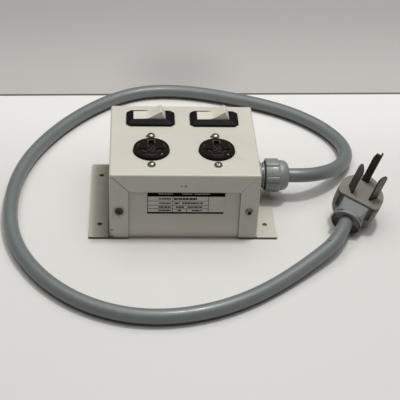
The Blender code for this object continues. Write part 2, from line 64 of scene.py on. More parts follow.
# ---- materials --------------------------------------------------------------------
class Mat:
    """A procedural material. Object coordinates are metres in the row frame."""

    def __init__(self, name, colour, rough=0.5, **sockets):
        self.m = bpy.data.materials.new(name)
        self.m.use_nodes = True
        self.nt = self.m.node_tree
        self.b = self.nt.nodes["Principled BSDF"]
        self.b.inputs["Base Color"].default_value = (*colour, 1.0)
        self.b.inputs["Roughness"].default_value = rough
        for k, v in sockets.items():
            self.b.inputs[k.replace("_", " ")].default_value = v
        self.pos = self.new("ShaderNodeTexCoord").outputs["Object"]
        self.colour = (*colour, 1.0)
        self.last_bump = None
        self.m.diffuse_color = (*colour, 1.0)

    def new(self, kind, **props):
        n = self.nt.nodes.new(kind)
        for k, v in props.items():
            setattr(n, k, v)
        return n

    def put(self, socket, value):
        if isinstance(value, bpy.types.NodeSocket):
            self.nt.links.new(value, socket)
        elif isinstance(value, (tuple, list)) and len(value) == 3 and socket.type == "RGBA":
            socket.default_value = (*value, 1.0)
        else:
            socket.default_value = value

    def scaled(self, sx, sy, sz, vec=None):
        n = self.new("ShaderNodeMapping")
        n.inputs["Scale"].default_value = (sx, sy, sz)
        self.put(n.inputs["Vector"], vec or self.pos)
        return n.outputs["Vector"]

    def noise(self, scale, detail=3.0, rough=0.55, vec=None, twist=0.0):
        n = self.new("ShaderNodeTexNoise")
        self.put(n.inputs["Vector"], vec or self.pos)
        for k, v in (("Scale", scale), ("Detail", detail), ("Roughness", rough), ("Distortion", twist)):
            n.inputs[k].default_value = v
        return n.outputs["Fac"]

    def cells(self, scale, vec=None, feature="F1"):
        n = self.new("ShaderNodeTexVoronoi", feature=feature)
        self.put(n.inputs["Vector"], vec or self.pos)
        n.inputs["Scale"].default_value = scale
        return n.outputs["Distance"]

    def fit(self, value, lo, hi, to_lo=0.0, to_hi=1.0, smooth=True):
        n = self.new("ShaderNodeMapRange", clamp=True, interpolation_type="SMOOTHSTEP" if smooth else "LINEAR")
        for k, v in (("Value", value), ("From Min", lo), ("From Max", hi), ("To Min", to_lo), ("To Max", to_hi)):
            self.put(n.inputs[k], v)
        return n.outputs["Result"]

    def math(self, op, a, b=0.0, clamp=False):
        n = self.new("ShaderNodeMath", operation=op, use_clamp=clamp)
        self.put(n.inputs[0], a)
        self.put(n.inputs[1], b)
        return n.outputs[0]

    def mul(self, *vs):
        out = vs[0]
        for v in vs[1:]:
            out = self.math("MULTIPLY", out, v)
        return out

    def add(self, *vs):
        out = vs[0]
        for v in vs[1:]:
            out = self.math("ADD", out, v)
        return out

    def axis(self, i, vec=None):
        n = self.new("ShaderNodeSeparateXYZ")
        self.put(n.inputs[0], vec or self.pos)
        return n.outputs[i]

    def near(self, p_mm, r0, r1):
        """1 within r0 mm of a point, 0 beyond r1 mm."""
        n = self.new("ShaderNodeVectorMath", operation="DISTANCE")
        self.put(n.inputs[0], self.pos)
        n.inputs[1].default_value = tuple(c * MM for c in p_mm)
        return self.fit(n.outputs["Value"], r0 * MM, r1 * MM, 1.0, 0.0)

    def edges(self, radius_mm, gain=3.0):
        """Rises from 0 on flats to 1 on convex and concave edges."""
        bev = self.new("ShaderNodeBevel", samples=4)
        bev.inputs["Radius"].default_value = radius_mm * MM
        geo = self.new("ShaderNodeNewGeometry")
        dot = self.new("ShaderNodeVectorMath", operation="DOT_PRODUCT")
        self.put(dot.inputs[0], bev.outputs["Normal"])
        self.put(dot.inputs[1], geo.outputs["Normal"])
        return self.math("MULTIPLY", self.math("SUBTRACT", 1.0, dot.outputs["Value"]), gain, clamp=True)

    def facing_up(self, lo=0.2, hi=0.9):
        geo = self.new("ShaderNodeNewGeometry")
        return self.fit(self.axis(2, geo.outputs["Normal"]), lo, hi)

    def tint(self, fac, colour):
        """Lays colour over what is there, by fac."""
        n = self.new("ShaderNodeMix", data_type="RGBA")
        self.put(n.inputs[0], fac)
        self.put(n.inputs[6], self.colour)
        self.put(n.inputs[7], colour)
        self.colour = n.outputs[2]
        self.put(self.b.inputs["Base Color"], self.colour)
        return self

    def rough(self, value, lo, hi):
        self.put(self.b.inputs["Roughness"], self.fit(value, 0.3, 0.7, lo, hi))
        return self

    def bump(self, height, strength, mm):
        n = self.new("ShaderNodeBump")
        n.inputs["Strength"].default_value = strength
        n.inputs["Distance"].default_value = mm * MM
        self.put(n.inputs["Height"], height)
        if self.last_bump is not None:
            self.put(n.inputs["Normal"], self.last_bump)
        self.last_bump = n.outputs["Normal"]
        self.put(self.b.inputs["Normal"], self.last_bump)
        return self


def paint(name, colour, shade, dirty):
    m = Mat(name, colour, 0.42)
    m.tint(m.fit(m.noise(9, 3), 0.35, 0.68, 0.0, 1.0), shade)
    m.tint(m.mul(m.fit(m.noise(1500, 2), 0.5, 0.75), 0.10), tuple(c * 0.72 for c in colour))
    m.tint(m.mul(m.fit(m.noise(75, 5, 0.62, twist=0.6), 0.58, 0.74), dirty), (0.36, 0.33, 0.26))
    # Lighter rubbed edges, broken up by noise; along the bends this is also a painted highlight.
    m.tint(m.mul(m.edges(0.5, 2.2), m.fit(m.noise(320, 4), 0.40, 0.58), 0.75), (0.76, 0.75, 0.69))
    m.tint(m.mul(m.fit(m.cells(85), 0.035, 0.055, 1.0, 0.0), m.fit(m.noise(22, 2), 0.58, 0.66), 0.65), (0.20, 0.17, 0.13))
    m.rough(m.noise(60, 4), 0.34, 0.50)
    m.bump(m.noise(950, 2), 0.28, 0.05)
    m.bump(m.noise(18, 1), 0.35, 0.35)
    return m


BEIGE = (0.520, 0.504, 0.440)
m = paint("paint_beige", BEIGE, (0.496, 0.480, 0.414), 0.20)
stain = m.mul(m.near((-63, -62.6, 32.6), 3.4, 7.6), m.fit(m.noise(300, 3, 0.5), 0.25, 0.6, 0.5, 1.0))
m.tint(m.mul(stain, 0.72), (0.17, 0.13, 0.09))
m.tint(m.mul(m.near((-64.5, -62.6, 28.5), 2.0, 9.0), m.fit(m.noise(300, 3), 0.42, 0.7), 0.5), (0.30, 0.25, 0.18))
for p, r in (((0.7, -62.5, 62.7), 1.2), ((-2.6, -62.5, 62.1), 0.7), ((-3.6, -62.5, 63.0), 0.8), ((-70.2, -62.5, 9.8), 1.1), ((-69.9, -62.5, 2.2), 1.5), ((-72.0, -62.4, 5.0), 0.9), ((-71.4, -62.4, 2.0), 1.1)):
    m.tint(m.mul(m.near(p, r * 0.7, r * 1.6), m.fit(m.noise(900, 3), 0.25, 0.45), 0.92), (0.16, 0.13, 0.10))
# painted shade: a dark line on the cut edges of both side flaps below the lip (stronger on the right), and a darker
# strip along the foot of the flaps
for side in (-1, 1):
    edge = m.math("ABSOLUTE", m.math("SUBTRACT", m.axis(0), side * 0.0537))
    m.tint(m.mul(m.fit(edge, 0.0002, 0.0007, 1.0, 0.0), m.fit(m.axis(1), -0.0600, -0.0606), m.fit(m.axis(2), 0.0550, 0.0556, 1.0, 0.0), 0.85 if side > 0 else 0.55), (0.055, 0.050, 0.042))
    m.tint(m.mul(m.fit(m.axis(2), 0.0012, 0.0022, 1.0, 0.0), m.fit(m.axis(1), -0.0600, -0.0606), 0.25), (0.10, 0.09, 0.07))
# grime along the lower edge of the left side
low = m.mul(m.fit(m.axis(2), 0.002, 0.020, 1.0, 0.0), m.fit(m.axis(0), -0.0715, -0.0724), m.fit(m.noise(140, 4), 0.35, 0.65))
m.tint(m.mul(low, 0.6), (0.16, 0.13, 0.10))
PAINT = m.m

m = paint("paint_chassis", (0.515, 0.498, 0.432), (0.482, 0.464, 0.394), 0.26)
side = m.fit(m.axis(0), -0.0875, -0.0730)
wall = m.mul(m.fit(m.axis(1), -0.0590, -0.0605), m.fit(m.axis(2), 0.0020, 0.0040))
# Painted shade on the chassis front wall, darker up under the lip, and painted bounce light, lighter towards its foot.
m.tint(m.mul(wall, m.fit(m.axis(2), 0.016, 0.056, smooth=False), 0.42), (0.36, 0.35, 0.305))
m.tint(m.mul(wall, m.fit(m.axis(2), 0.004, 0.026, 1.0, 0.0), 0.70), (0.600, 0.560, 0.490))
m.tint(m.mul(m.fit(m.axis(0), -0.0700, -0.0725), 0.26), (0.28, 0.26, 0.21))
# Painted shadow: a dark line along the bottom edge of the sheet, just above the floor.
m.tint(m.mul(m.fit(m.axis(2), 0.0004, 0.0010, 1.0, 0.0), 0.70), (0.085, 0.078, 0.062))
left = m.mul(m.fit(m.axis(0), -0.0925, -0.0735, smooth=False), m.fit(m.axis(0), -0.0700, -0.0725), m.fit(m.noise(60, 3), 0.2, 0.7, 0.78, 1.0))
m.tint(m.mul(left, 0.80), (0.115, 0.095, 0.070))
m.tint(m.mul(m.fit(m.axis(1), -0.030, -0.062), m.fit(m.axis(0), -0.0840, -0.0740), m.fit(m.axis(0), -0.0700, -0.0725), m.fit(m.noise(160, 4), 0.35, 0.6), 0.6), (0.15, 0.115, 0.075))
# Dirt and painted shade: a dark strip on the left flange along the foot of the side.
m.tint(m.mul(m.fit(m.axis(0), -0.0735, -0.0750, 1.0, 0.0), m.fit(m.axis(0), -0.070, -0.0722), 0.85), (0.06, 0.05, 0.035))
# Painted shade inside the flange holes.
for sx in (-1, 1):
    for sy in (-1, 1):
        m.tint(m.mul(m.near((sx * 82.5, sy * 42, 0.6), 2.25, 2.9), 0.8), (0.030, 0.025, 0.020))
CHASSIS = m.m

m = Mat("plastic_black", (0.0070, 0.0070, 0.0080), 0.48, Specular_IOR_Level=0.07)
m.tint(m.mul(m.facing_up(), m.fit(m.noise(130, 5, 0.6), 0.56, 0.78), 0.12), (0.050, 0.050, 0.046))
m.tint(m.mul(m.edges(0.3, 2.0), m.fit(m.noise(420, 3), 0.42, 0.62), 0.30), (0.050, 0.052, 0.055))
m.rough(m.noise(240, 4), 0.40, 0.58)
m.bump(m.noise(2600, 2), 0.18, 0.02)
BLACK = m.m

m = Mat("bakelite_brown", (0.0075, 0.0050, 0.0046), 0.50, Specular_IOR_Level=0.07)
m.tint(m.mul(m.noise(420, 5, 0.7, twist=1.2), 0.45), (0.0165, 0.0105, 0.0092))
m.tint(m.mul(m.edges(0.22, 2.4), m.fit(m.noise(600, 3), 0.42, 0.64), 0.35), (0.060, 0.048, 0.042))
m.tint(m.mul(m.fit(m.noise(260, 5, 0.7), 0.60, 0.78), m.facing_up(), 0.22), (0.055, 0.043, 0.037))
m.rough(m.noise(300, 4), 0.38, 0.56)
m.bump(m.noise(1500, 3), 0.15, 0.03)
BROWN = m.m

m = Mat("bakelite_worn", (0.082, 0.064, 0.056), 0.50, Specular_IOR_Level=0.4)
m.tint(m.mul(m.fit(m.noise(700, 4, 0.7), 0.42, 0.62), 0.75), (0.030, 0.021, 0.018))
m.rough(m.noise(500, 3), 0.42, 0.60)
m.bump(m.noise(1700, 3), 0.2, 0.03)
RELIEF = m.m

m = Mat("plastic_ivory", (0.585, 0.573, 0.500), 0.33, Subsurface_Weight=0.12, Subsurface_Radius=(0.004, 0.003, 0.002), Subsurface_Scale=1.0)
m.tint(m.mul(m.fit(m.noise(110, 4), 0.4, 0.7), 0.5), (0.545, 0.525, 0.430))
m.tint(m.mul(m.edges(0.5, 1.6), m.fit(m.noise(500, 3), 0.45, 0.65), 0.4), (0.44, 0.40, 0.31))
m.rough(m.noise(350, 3), 0.26, 0.42)
m.bump(m.noise(1800, 2), 0.10, 0.02)
IVORY = m.m

m = Mat("nylon_grey", (0.200, 0.221, 0.213), 0.32, Specular_IOR_Level=0.6)
m.tint(m.mul(m.fit(m.noise(160, 4), 0.4, 0.7), 0.5), (0.163, 0.182, 0.175))
m.tint(m.mul(m.edges(0.35, 2.4), 0.30), (0.25, 0.275, 0.265))
m.tint(m.mul(m.fit(m.noise(60, 5, 0.65), 0.60, 0.74), 0.4), (0.095, 0.100, 0.092))
m.rough(m.noise(260, 4), 0.25, 0.38)
m.bump(m.noise(1400, 3), 0.14, 0.03)
GREY = m.m

m = Mat("pvc_grey", (0.134, 0.152, 0.147), 0.28, Specular_IOR_Level=0.65)
m.tint(m.mul(m.fit(m.noise(16, 4), 0.38, 0.68), 0.6), (0.124, 0.141, 0.136))
m.tint(m.mul(m.fit(m.noise(700, 3), 0.48, 0.72), 0.25), (0.205, 0.225, 0.218))
m.tint(m.mul(m.fit(m.noise(70, 5, 0.6), 0.58, 0.72), 0.40), (0.088, 0.098, 0.093))
m.tint(m.mul(m.fit(m.cells(46), 0.03, 0.05, 1.0, 0.0), m.fit(m.noise(13, 2), 0.52, 0.6), 0.6), (0.045, 0.048, 0.045))
m.tint(m.mul(m.fit(m.cells(31), 0.02, 0.034, 1.0, 0.0), m.fit(m.noise(17, 2), 0.50, 0.58), 0.5), (0.30, 0.32, 0.30))
m.tint(m.mul(m.near((139.6, -90.7, 20.5), 0.7, 1.7), 0.92), (0.016, 0.018, 0.018))
# Painted contact shade: the underside of the cord, next to the table, is darkened.
m.tint(m.mul(m.fit(m.axis(2), 0.0036, 0.0056, 1.0, 0.0), 0.88), (0.018, 0.020, 0.019))
m.rough(m.noise(90, 5, 0.65), 0.28, 0.42)
m.bump(m.noise(1300, 3), 0.14, 0.04)
m.bump(m.noise(34, 1), 0.12, 0.3)
PVC = m.m


def vinyl(name, colour, shade, dirt):
    m = Mat(name, colour, 0.52)
    m.tint(m.mul(m.fit(m.noise(70, 5, 0.6), 0.38, 0.68), 0.6), shade)
    m.tint(m.mul(m.fit(m.noise(240, 5, 0.7, twist=1.0), 0.54, 0.72), dirt), (0.078, 0.072, 0.056))
    m.tint(m.mul(m.edges(0.6, 2.0), m.fit(m.noise(400, 3), 0.4, 0.6), 0.45), tuple(c * 1.45 for c in colour))
    m.rough(m.noise(280, 4), 0.42, 0.62)
    m.bump(m.noise(1500, 3), 0.25, 0.05)
    m.bump(m.noise(190, 3), 0.20, 0.12)
    return m.m


PLUG = vinyl("plug_grey", (0.168, 0.164, 0.141), (0.138, 0.133, 0.112), 0.45)
PLUG_FACE = vinyl("plug_grey_face", (0.180, 0.172, 0.143), (0.150, 0.142, 0.114), 0.35)
# A dark copy of the plug grey: painted shade for the seam under the face plate and the lower side of the collar.
PLUG_SHADED = vinyl("plug_grey_shaded", (0.052, 0.050, 0.042), (0.036, 0.034, 0.028), 0.45)
PLUG_BLOCK = vinyl("plug_grey_block", (0.176, 0.191, 0.185), (0.157, 0.171, 0.166), 0.18)

m = Mat("nickel", (0.29, 0.268, 0.225), 0.33, Metallic=1.0)
m.tint(m.mul(m.fit(m.noise(420, 5, 0.65), 0.44, 0.70), 0.8), (0.150, 0.132, 0.104))
m.tint(m.mul(m.edges(0.25, 2.5), 0.4), (0.12, 0.11, 0.09))
m.rough(m.noise(900, 4), 0.26, 0.46)
# Painted shade: the head of the front right cover screw is near black over its cross recess.
m.tint(m.near((63.25, -64.6, 32.5), 1.45, 2.15), (0.012, 0.010, 0.009))
m.bump(m.noise(2200, 3), 0.12, 0.02)
NICKEL = m.m

m = Mat("nickel_rusty", (0.075, 0.055, 0.040), 0.6, Metallic=0.4)
m.tint(m.fit(m.noise(650, 5, 0.7), 0.44, 0.62), (0.028, 0.018, 0.013))
m.tint(m.mul(m.edges(0.3, 2.5), m.fit(m.noise(900, 3), 0.45, 0.6), 0.45), (0.20, 0.17, 0.14))
m.rough(m.noise(900, 4), 0.36, 0.7)
m.bump(m.noise(1600, 4, 0.7), 0.5, 0.08)
RUSTY = m.m

# A darker copy of the tarnished brass, for the left and ground blades and, as painted shade, for the thin edges of the
# blades.
m = Mat("brass_darker", (0.034, 0.026, 0.018), 0.46, Metallic=0.4)
m.tint(m.fit(m.noise(260, 5, 0.65, twist=1.0), 0.46, 0.66), (0.060, 0.040, 0.027))
m.tint(m.mul(m.edges(0.25, 2.2), m.fit(m.noise(500, 3), 0.45, 0.62), 0.5), (0.11, 0.085, 0.055))
m.rough(m.noise(420, 5, 0.6), 0.36, 0.58)
m.bump(m.noise(1100, 4, 0.65, vec=m.scaled(1, 1, 0.25)), 0.22, 0.05)
BRASS_DARKER = m.m

m = Mat("brass_tarnished", (0.090, 0.075, 0.044), 0.44, Metallic=0.6)
m.tint(m.fit(m.noise(210, 5, 0.65, twist=1.0), 0.46, 0.68), (0.050, 0.040, 0.027))
m.tint(m.mul(m.fit(m.noise(70, 4), 0.5, 0.72), 0.45), (0.155, 0.122, 0.078))
m.tint(m.mul(m.edges(0.25, 2.2), m.fit(m.noise(500, 3), 0.45, 0.62), 0.35), (0.20, 0.16, 0.10))
m.rough(m.noise(420, 5, 0.6), 0.34, 0.58)
m.bump(m.noise(1100, 4, 0.65, vec=m.scaled(1, 1, 0.25)), 0.22, 0.05)
BRONZE = m.m

m = Mat("label_foil", (0.455, 0.440, 0.385), 0.40, Metallic=0.1)
m.tint(m.mul(m.fit(m.noise(90, 4), 0.4, 0.7), 0.5), (0.400, 0.382, 0.322))
m.tint(m.mul(m.fit(m.noise(420, 5, 0.7), 0.58, 0.72), 0.5), (0.22, 0.20, 0.165))
m.rough(m.noise(500, 3), 0.34, 0.50)
m.bump(m.noise(900, 3, vec=m.scaled(1, 1, 0.15)), 0.15, 0.03)
FOIL = m.m

m = Mat("label_ink", (0.0030, 0.0028, 0.0026), 0.75, Specular_IOR_Level=0.0)
m.tint(m.mul(m.fit(m.noise(650, 5, 0.7), 0.66, 0.74), 0.35), (0.15, 0.14, 0.12))
m.rough(m.noise(500, 3), 0.55, 0.70)
m.bump(m.noise(1500, 2), 0.1, 0.02)
INK = m.m


def plain(name, colour, rough, scale, shade, **sockets):
    m = Mat(name, colour, rough, **sockets)
    m.tint(m.mul(m.fit(m.noise(scale, 4), 0.38, 0.68), 0.7), shade)
    m.tint(m.mul(m.edges(0.3, 2.0), 0.3), tuple(min(1.0, c * 1.6 + 0.01) for c in colour))
    m.rough(m.noise(scale * 2.5, 4), max(0.05, rough - 0.1), rough + 0.12)
    m.bump(m.noise(scale * 6, 3), 0.2, 0.04)
    return m.m


STEEL = plain("zinc_steel", (0.46, 0.46, 0.45), 0.36, 300, (0.30, 0.30, 0.28), Metallic=1.0)
BRASS = plain("brass", (0.60, 0.42, 0.17), 0.32, 250, (0.40, 0.26, 0.10), Metallic=1.0)
RUBBER = plain("rubber_black", (0.024, 0.024, 0.024), 0.72, 400, (0.045, 0.045, 0.043))
BOARD = plain("board_green", (0.025, 0.15, 0.065), 0.42, 120, (0.018, 0.10, 0.045))
BLUE = plain("varistor_blue", (0.03, 0.09, 0.32), 0.38, 260, (0.02, 0.065, 0.24))
WIRE_K = plain("wire_black", (0.018, 0.018, 0.018), 0.42, 300, (0.03, 0.03, 0.03))
WIRE_W = plain("wire_white", (0.68, 0.68, 0.65), 0.42, 300, (0.60, 0.59, 0.54))
WIRE_G = plain("wire_green", (0.03, 0.23, 0.06), 0.42, 300, (0.02, 0.17, 0.045))
BY_SLOT = {
    "paint_beige": PAINT, "paint_chassis": CHASSIS, "plastic_black": BLACK, "bakelite_brown": BROWN, "plastic_ivory": IVORY,
    "nylon_grey": GREY, "pvc_grey": PVC, "plug_grey": PLUG, "nickel": NICKEL, "zinc_steel": STEEL, "brass": BRASS,
    "brass_tarnished": BRONZE, "rubber_black": RUBBER, "board_green": BOARD, "varistor_blue": BLUE, "label_foil": FOIL,
    "wire_black": WIRE_K, "wire_white": WIRE_W, "wire_green": WIRE_G,
}
for part in frame["record"]["subparts"]:
    node = frame["nodes"][part["node"]]
    node.data.materials.clear()
    node.data.materials.append(BY_SLOT[part["material_slot"]])


# ---- mesh builders ----------------------------------------------------------------
def bm_box(x0, x1, y0, y1, z0, z1):
    bm = bmesh.new()
    v = [bm.verts.new((x, y, z)) for x in (x0, x1) for y in (y0, y1) for z in (z0, z1)]
    for f in ((0, 1, 3, 2), (4, 6, 7, 5), (0, 4, 5, 1), (2, 3, 7, 6), (0, 2, 6, 4), (1, 5, 7, 3)):
        bm.faces.new([v[i] for i in f])
    return bm


def bm_prism(poly, o, ex, ey, ez, depth):
    o, ex, ey, ez = Vector(o), Vector(ex), Vector(ey), Vector(ez)
    bm = bmesh.new()
    a = [bm.verts.new(o + ex * p + ey * q) for p, q in poly]
    b = [bm.verts.new(o + ex * p + ey * q + ez * depth) for p, q in poly]
    bm.faces.new(a)
    bm.faces.new(b)
    for i in range(len(poly)):
        j = (i + 1) % len(poly)
        bm.faces.new((a[i], a[j], b[j], b[i]))
    return bm


def frame_of(ax):
    ax = Vector(ax).normalized()
    side = Z if abs(ax.z) < 0.9 else X
    ex = side.cross(ax).normalized()
    return ex, ax.cross(ex).normalized(), ax


def bm_turn(prof, o, ax, seg=48, phase=0.0, wobble=None):
    """Turns (radius, height) stations about an axis. wobble(angle, radius, height) changes a radius."""
    o = Vector(o)
    ex, ey, ez = frame_of(ax)
    bm = bmesh.new()
    rings = []
    for r, h in prof:
        if r == 0:
            rings.append([bm.verts.new(o + ez * h)])
            continue
        ring = []
        for i in range(seg):
            t = phase + 2 * math.pi * i / seg
            q = wobble(t, r, h) if wobble else r
            ring.append(bm.verts.new(o + ez * h + (ex * math.cos(t) + ey * math.sin(t)) * q))
        rings.append(ring)
    pairs = list(zip(rings, rings[1:]))
    if len(rings[0]) > 1:
        pairs.append((rings[-1], rings[0]))
    for a, b in pairs:
        for i in range(seg):
            j = (i + 1) % seg
            if len(a) == 1 and len(b) == 1:
                break
            if len(a) == 1:
                bm.faces.new((a[0], b[i], b[j]))
            elif len(b) == 1:
                bm.faces.new((a[i], a[j], b[0]))
            else:
                bm.faces.new((a[i], a[j], b[j], b[i]))
    return bm


def bm_loft(rings, wrap=False):
    bm = bmesh.new()
    rows = [[bm.verts.new(p) for p in ring] for ring in rings]
    n = len(rows[0])
    pairs = list(zip(rows, rows[1:]))
    if wrap:
        pairs.append((rows[-1], rows[0]))
    else:
        bm.faces.new(rows[0])
        bm.faces.new(rows[-1])
    for a, b in pairs:
        for i in range(n):
            j = (i + 1) % n
            bm.faces.new((a[i], a[j], b[j], b[i]))
    return bm


def bm_hull(points):
    bm = bmesh.new()
    for p in points:
        bm.verts.new(p)
    bmesh.ops.convex_hull(bm, input=bm.verts)
    loose = [v for v in bm.verts if not v.link_faces]
    bmesh.ops.delete(bm, geom=loose, context="VERTS")
    return bm


def rod(r, h0, h1):
    return [(0, h0), (r, h0), (r, h1), (0, h1)]


def round_rect(hx, hy, r, n=6):
    pts = []
    for cx, cy, a0 in ((hx - r, hy - r, 0), (-hx + r, hy - r, 90), (-hx + r, -hy + r, 180), (hx - r, -hy + r, 270)):
        for i in range(n + 1):
            t = math.radians(a0 + 90 * i / n)
            pts.append((cx + r * math.cos(t), cy + r * math.sin(t)))
    return pts


def raw(name, bm):
    bmesh.ops.recalc_face_normals(bm, faces=bm.faces)
    for v in bm.verts:
        v.co *= MM
    me = bpy.data.meshes.new(name)
    bm.to_mesh(me)
    bm.free()
    ob = bpy.data.objects.new(name, me)
    bpy.context.scene.collection.objects.link(ob)
    return ob


def bake(ob):
    """Applies the modifiers."""
    bpy.context.view_layer.update()
    dg = bpy.context.evaluated_depsgraph_get()
    me = bpy.data.meshes.new_from_object(ob.evaluated_get(dg), depsgraph=dg)
    old = ob.data
    ob.modifiers.clear()
    ob.data = me
    bpy.data.meshes.remove(old)
    return ob


def boolean(ob, op, shapes):
    tools = []
    for bm in shapes:
        t = raw("tool", bm)
        md = ob.modifiers.new("b", "BOOLEAN")
        md.operation, md.solver, md.object = op, "EXACT", t
        tools.append(t)
    bake(ob)
    for t in tools:
        me = t.data
        bpy.data.objects.remove(t)
        bpy.data.meshes.remove(me)
    return ob


def dress(ob, material, replaces=(), body="box", bevel=0.0, seg=2, limit=35, sharp=50, weighted=True):
    if bevel:
        md = ob.modifiers.new("bevel", "BEVEL")
        md.width, md.segments, md.limit_method, md.angle_limit = bevel * MM, seg, "ANGLE", math.radians(limit)
        md.use_clamp_overlap = True
        bake(ob)
    for p in ob.data.polygons:
        p.use_smooth = True
    ob.data.set_sharp_from_angle(angle=math.radians(sharp))
    if weighted:
        md = ob.modifiers.new("weighted", "WEIGHTED_NORMAL")
        md.keep_sharp = True
        bake(ob)
    ob.data.name = ob.name
    if material is not None:
        ob.data.materials.clear()
        ob.data.materials.append(material)
    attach(ob, body)
    if replaces:
        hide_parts(*replaces)
    return ob


# ---- cord: one smooth curve from the gland to the plug collar -------------------------
CORD_R = 7.3
STATIONS = [
    (58, 7, 27.5), (86, 7, 27.5), (110, 6.9, 27.5), (122, 7.5, 27.2), (133, 10.5, 25.8), (144.5, 16.9, 23.3),
    (156, 26.2, 20.0), (166.4, 38.3, 16.5), (174.6, 51.5, 13.4), (180.0, 66.5, 10.8), (181.2, 85, 8.8),
    (174.5, 109, 7.6), (158, 134, 7.4), (117, 167.6, 7.4), (63, 190.8, 7.4), (5, 204.8, 7.4),
    (-40, 201.5, 7.4), (-95.5, 165.3, 7.4), (-136, 113.3, 7.4), (-163.4, 52.2, 7.4),
    (-172, -12.7, 7.4), (-164.7, -70, 7.4), (-140, -121.4, 7.4), (-102.8, -159.6, 7.4),
    (-51, -182.4, 7.4), (2, -181.6, 7.4), (57.6, -159.5, 7.4), (98, -130, 8.1), (129.4, -102.5, 11.2),
    (144.6, -86.8, 13.3), (153.2, -73.6, 14.9), (160.6, -58.0, 15.8), (169.0, -39.2, 16.4),
]
pts = np.array(STATIONS, float)
tt = np.r_[0, np.cumsum(np.linalg.norm(np.diff(pts, axis=0), axis=1))]
hh = np.diff(tt)
mat_a, mat_b = np.eye(len(pts)), np.zeros((len(pts), 3))
for i in range(1, len(pts) - 1):
    mat_a[i, i - 1], mat_a[i, i], mat_a[i, i + 1] = hh[i - 1], 2 * (hh[i - 1] + hh[i]), hh[i]
    mat_b[i] = 6 * ((pts[i + 1] - pts[i]) / hh[i] - (pts[i] - pts[i - 1]) / hh[i - 1])
kk = np.linalg.solve(mat_a, mat_b)
slope = np.array(
    [(pts[i + 1] - pts[i]) / hh[i] - hh[i] * (2 * kk[i] + kk[i + 1]) / 6 for i in range(len(hh))]
    + [(pts[-1] - pts[-2]) / hh[-1] + hh[-1] * (kk[-2] + 2 * kk[-1]) / 6]
)
first = 1
cu = bpy.data.curves.new("cord_jacket", "CURVE")
cu.dimensions = "3D"
cu.bevel_depth = CORD_R * MM
cu.bevel_resolution = 14
cu.resolution_u = 24
cu.use_fill_caps = True
sp = cu.splines.new("BEZIER")
sp.bezier_points.add(len(pts) - first - 1)
for q, i in zip(sp.bezier_points, range(first, len(pts))):
    q.handle_left_type = q.handle_right_type = "FREE"
    before = hh[i - 1] if i > 0 else hh[0]
    after = hh[i] if i < len(hh) else hh[-1]
    q.co = pts[i] * MM
    q.handle_left = (pts[i] - slope[i] * before / 3) * MM
    q.handle_right = (pts[i] + slope[i] * after / 3) * MM
cu.materials.append(PVC)
cord = bpy.data.objects.new("cord_jacket", cu)
bpy.context.scene.collection.objects.link(cord)
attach(cord, "box")
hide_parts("cord")

# ---- cover -------------------------------------------------------------------------------
BOX_W, BOX_D, BOX_H, SHEET, GAP, LIP, FLAP, FLANGE = 145.0, 125.0, 75.5, 1.2, 0.3, 20.0, 18.8, 20.5
HW, HD = BOX_W / 2, BOX_D / 2
SCREW_X, SCREW_Z = 63.0, 32.6
OUTLET_X, OUTLET_Y, OUTLET_R, OUTLET_TOP, OUTLET_SCREW = 32.0, -20.5, 17.5, 79.2, 25.0
BREAKER_X, BREAKER_Y, BEZEL_TOP, PIVOT_Z, WINDOW_DX = 32.2, 35.4, 81.2, 77.2, -1.0
GY, GZ = 7.0, 27.5
wall_y = HD - SHEET - GAP


def bent_box(hx, hy, z0, z1, r, seg):
    bm = bm_box(-hx, hx, -hy, hy, z0, z1)
    edges = [e for e in bm.edges if not all(v.co.z < z0 + 0.6 for v in e.verts)]
    bmesh.ops.bevel(bm, geom=edges, offset=r, segments=seg, affect="EDGES", profile=0.5)
    return bm


cover = raw("cover_sheet", bent_box(HW, HD, 0.4, BOX_H, 2.0, 6))
ix, iy, iz = HW - SHEET, HD - SHEET, BOX_H - SHEET
boolean(cover, "DIFFERENCE", [bent_box(ix, iy, -2, iz, 0.9, 4)])
tools = [bm_box(-(HW - FLAP), HW - FLAP, -HD - 2, HD + 2, -2, BOX_H - LIP)]
for sx in (-1, 1):
    x0, x1 = sorted((sx * (ix - 2), sx * (HW + 1)))
    tools.append(bm_box(x0, x1, -iy, iy, -2, SHEET + GAP))
    for sy in (-1, 1):
        w = 0.34 if sx < 0 else 0.13
        c = Vector((sx * (HW - FLAP / 2 - 1.5), sy * (HD - 0.5), BOX_H - LIP / 2 - 1.5))
        d = Vector((sx * FLAP, 0, LIP)).normalized()
        t = Vector((-sx * LIP, 0, FLAP)).normalized()
        tools.append(bm_prism([(-12.6, -w * 1.25), (12.2, -w * 0.8), (12.2, w * 0.8), (-12.6, w * 1.25)], c - Vector((0, 1.4, 0)), d, t, Y, 2.8))
        tools.append(bm_turn(rod(2.2, -3, 3), (sx * SCREW_X, sy * HD, SCREW_Z), Y, 24))
    tools.append(bm_box(sx * BREAKER_X - 22.2, sx * BREAKER_X + 22.2, BREAKER_Y - 10.5, BREAKER_Y + 10.5, 70, 80))
    tools.append(bm_turn(rod(OUTLET_R + 0.6, 70, 80), (sx * OUTLET_X, OUTLET_Y, 0), Z, 72))
    for s in (-1, 1):
        hole = bm_turn(rod(2.4, 70, 80), (sx * OUTLET_X, OUTLET_Y + s * OUTLET_SCREW, 0), Z, 24)
        for v in hole.verts:
            v.co.x += -3.0 if v.co.x < sx * OUTLET_X - 0.4 and s > 0 else 0
        tools.append(hole)
tools.append(bm_turn(rod(10.4, 68, 78), (0, GY, GZ), X, 36))
for t in tools:
    boolean(cover, "DIFFERENCE", [t])
dress(cover, PAINT, ["cover_shell"], bevel=0.16, seg=2, limit=55, sharp=60)

